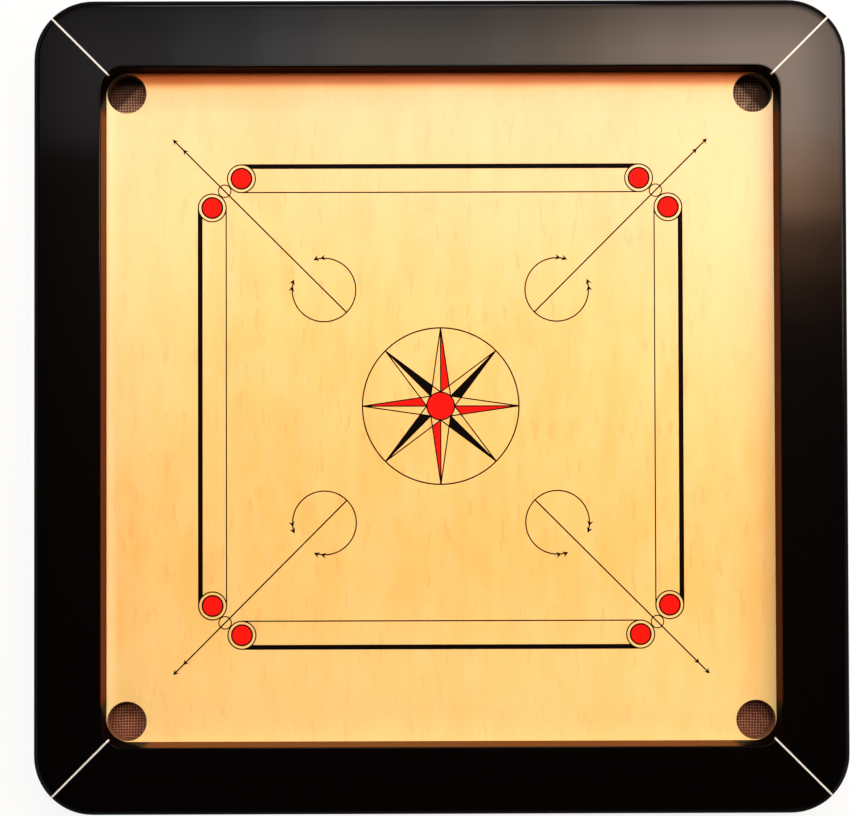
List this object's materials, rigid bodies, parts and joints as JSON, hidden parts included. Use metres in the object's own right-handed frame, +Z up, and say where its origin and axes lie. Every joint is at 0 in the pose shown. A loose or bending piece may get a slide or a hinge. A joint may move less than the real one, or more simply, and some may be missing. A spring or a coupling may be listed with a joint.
{
  "type": "carrom board",
  "caption": "Square carrom board: birch plywood playing panel in a mitred black hardwood frame, with corner pockets and mesh nets.",
  "frame": {"origin": "middle of the underside, on the surface that the board stands on", "axes": "+Z up out of the playing surface, +Y towards the back rail, +X towards the right rail"},
  "size_m": [0.89, 0.89, 0.05],
  "materials": {
    "rail_lacquer": "gloss",
    "birch_panel": "satin",
    "inlay_plastic": "gloss",
    "tongue_wood": "matte",
    "batten_wood": "matte",
    "net_mesh": "matte",
    "hem_webbing": "matte",
    "screw_steel": "satin",
    "tack_steel": "satin",
    "ink_black": "satin",
    "ink_red": "satin"
  },
  "bodies": {
    "root": {"batten_screws": "screw_steel", "cross_batten_lower": "batten_wood", "cross_batten_upper": "batten_wood", "mitre_inlay_back_left": "inlay_plastic", "mitre_inlay_back_right": "inlay_plastic", "mitre_inlay_front_left": "inlay_plastic", "mitre_inlay_front_right": "inlay_plastic", "mitre_tongue_back_left": "tongue_wood", "mitre_tongue_back_right": "tongue_wood", "mitre_tongue_front_left": "tongue_wood", "mitre_tongue_front_right": "tongue_wood", "net_back_left": "net_mesh", "net_back_right": "net_mesh", "net_front_left": "net_mesh", "net_front_right": "net_mesh", "net_hem_back_left": "hem_webbing", "net_hem_back_right": "hem_webbing", "net_hem_front_left": "hem_webbing", "net_hem_front_right": "hem_webbing", "panel_screws": "screw_steel", "playing_surface": "birch_panel", "rail_back": "rail_lacquer", "rail_front": "rail_lacquer", "rail_left": "rail_lacquer", "rail_right": "rail_lacquer"}
  },
  "joints": []
}
